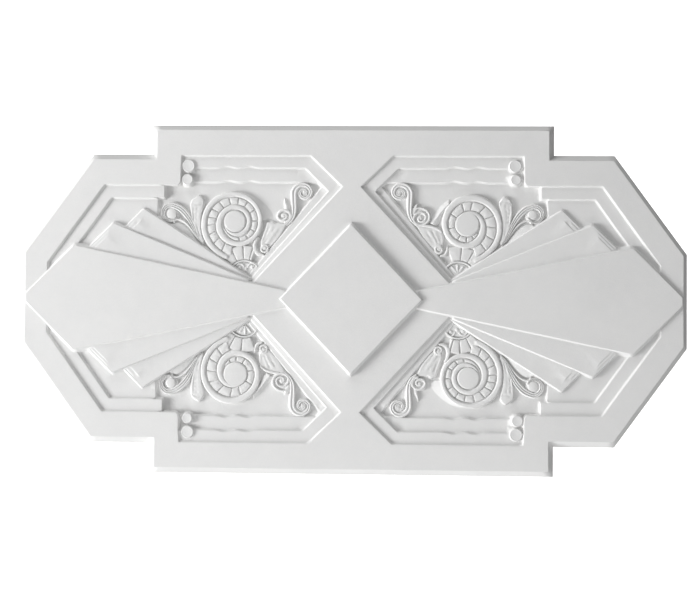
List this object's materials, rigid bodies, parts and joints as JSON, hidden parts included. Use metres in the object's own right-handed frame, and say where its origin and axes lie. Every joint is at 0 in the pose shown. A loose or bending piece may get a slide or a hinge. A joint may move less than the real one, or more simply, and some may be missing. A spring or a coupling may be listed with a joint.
{
  "type": "decorative plaster wall and ceiling panel",
  "caption": "Oblong cast plaster relief panel with notched corners, stepped sunk fields, fan blades, a raised centre lozenge and carved spiral rosettes.",
  "frame": {"origin": "centre of the flat back, where the panel is fixed to the wall or ceiling", "axes": "+X along the panel's length, +Z along its height, the carved face towards -Y and the flat back towards +Y"},
  "size_m": [1.2, 0.03, 0.6296],
  "materials": {
    "white_plaster": "matt cast white plaster"
  },
  "bodies": {
    "root": {"plaster_panel": "white_plaster"}
  },
  "joints": []
}
